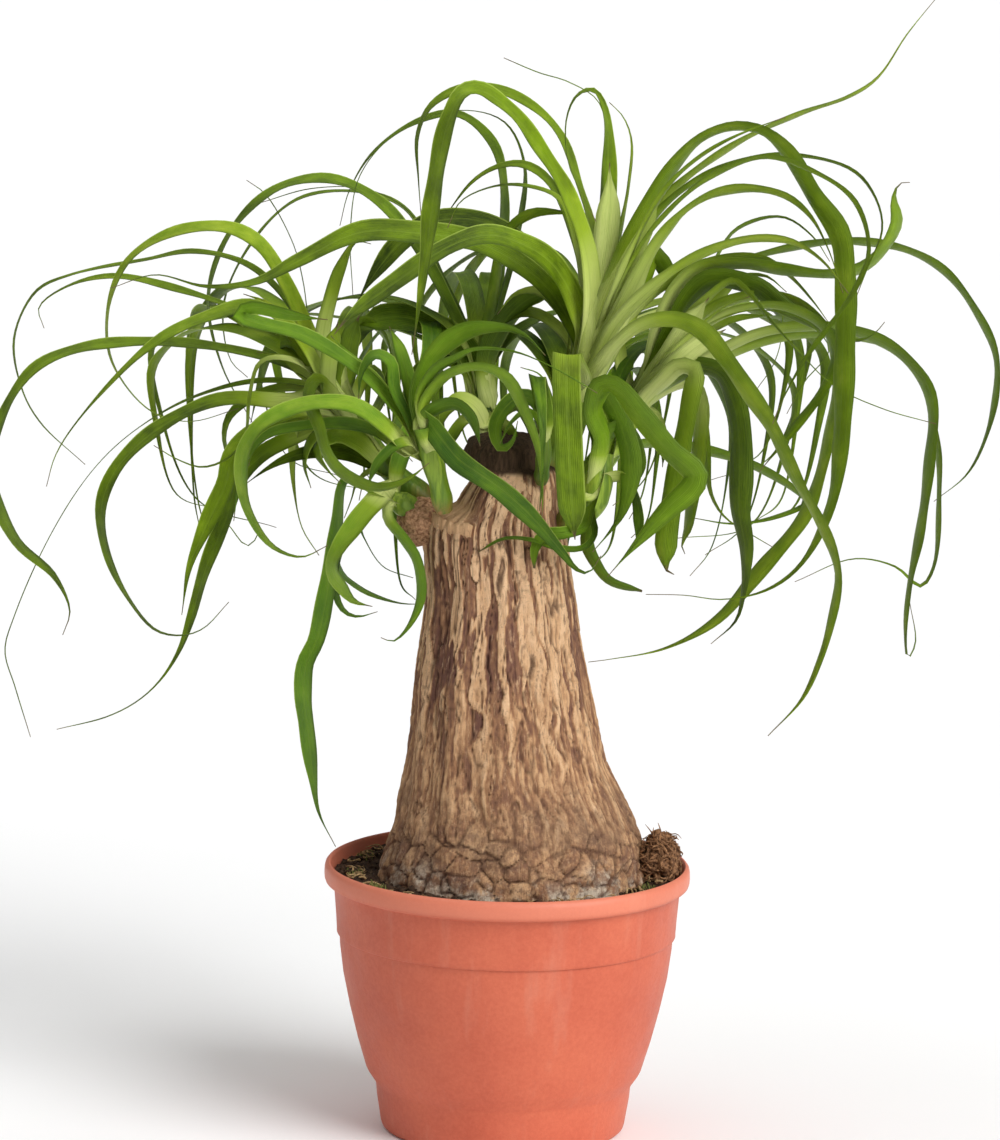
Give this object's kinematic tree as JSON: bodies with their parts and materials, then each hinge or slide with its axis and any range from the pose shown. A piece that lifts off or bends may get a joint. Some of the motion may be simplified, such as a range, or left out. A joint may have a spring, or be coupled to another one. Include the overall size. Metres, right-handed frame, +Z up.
{
  "type": "potted plant",
  "caption": "Ponytail palm with a swollen barky trunk and heads of long arching strap leaves, rooted in soil in a round terracotta-coloured plastic pot.",
  "frame": {"origin": "middle of the pot's flat underside, on the surface that it stands on", "axes": "+Z up along the pot's axis, -Y towards the viewer of the picture, +X to the viewer's right"},
  "size_m": [0.5796, 0.3784, 0.6552],
  "materials": {
    "pot": "terracotta-coloured moulded plastic, matte with a faint grain",
    "soil": "dark fibrous potting soil with straw and moss",
    "bark": "tan corky bark with dark vertical fissures and plates round the base",
    "leaf": "living green leaf, satin, with fine veins along it and pale roots"
  },
  "bodies": {
    "root": {"pot": "pot", "soil": "soil", "trunk": "bark", "head_front_left": "leaf", "head_left_knob": "leaf", "head_left": "leaf", "head_centre": "leaf", "head_right": "leaf", "head_right_low": "leaf", "head_front": "leaf", "head_back": "leaf", "head_back_right": "leaf"}
  },
  "joints": []
}
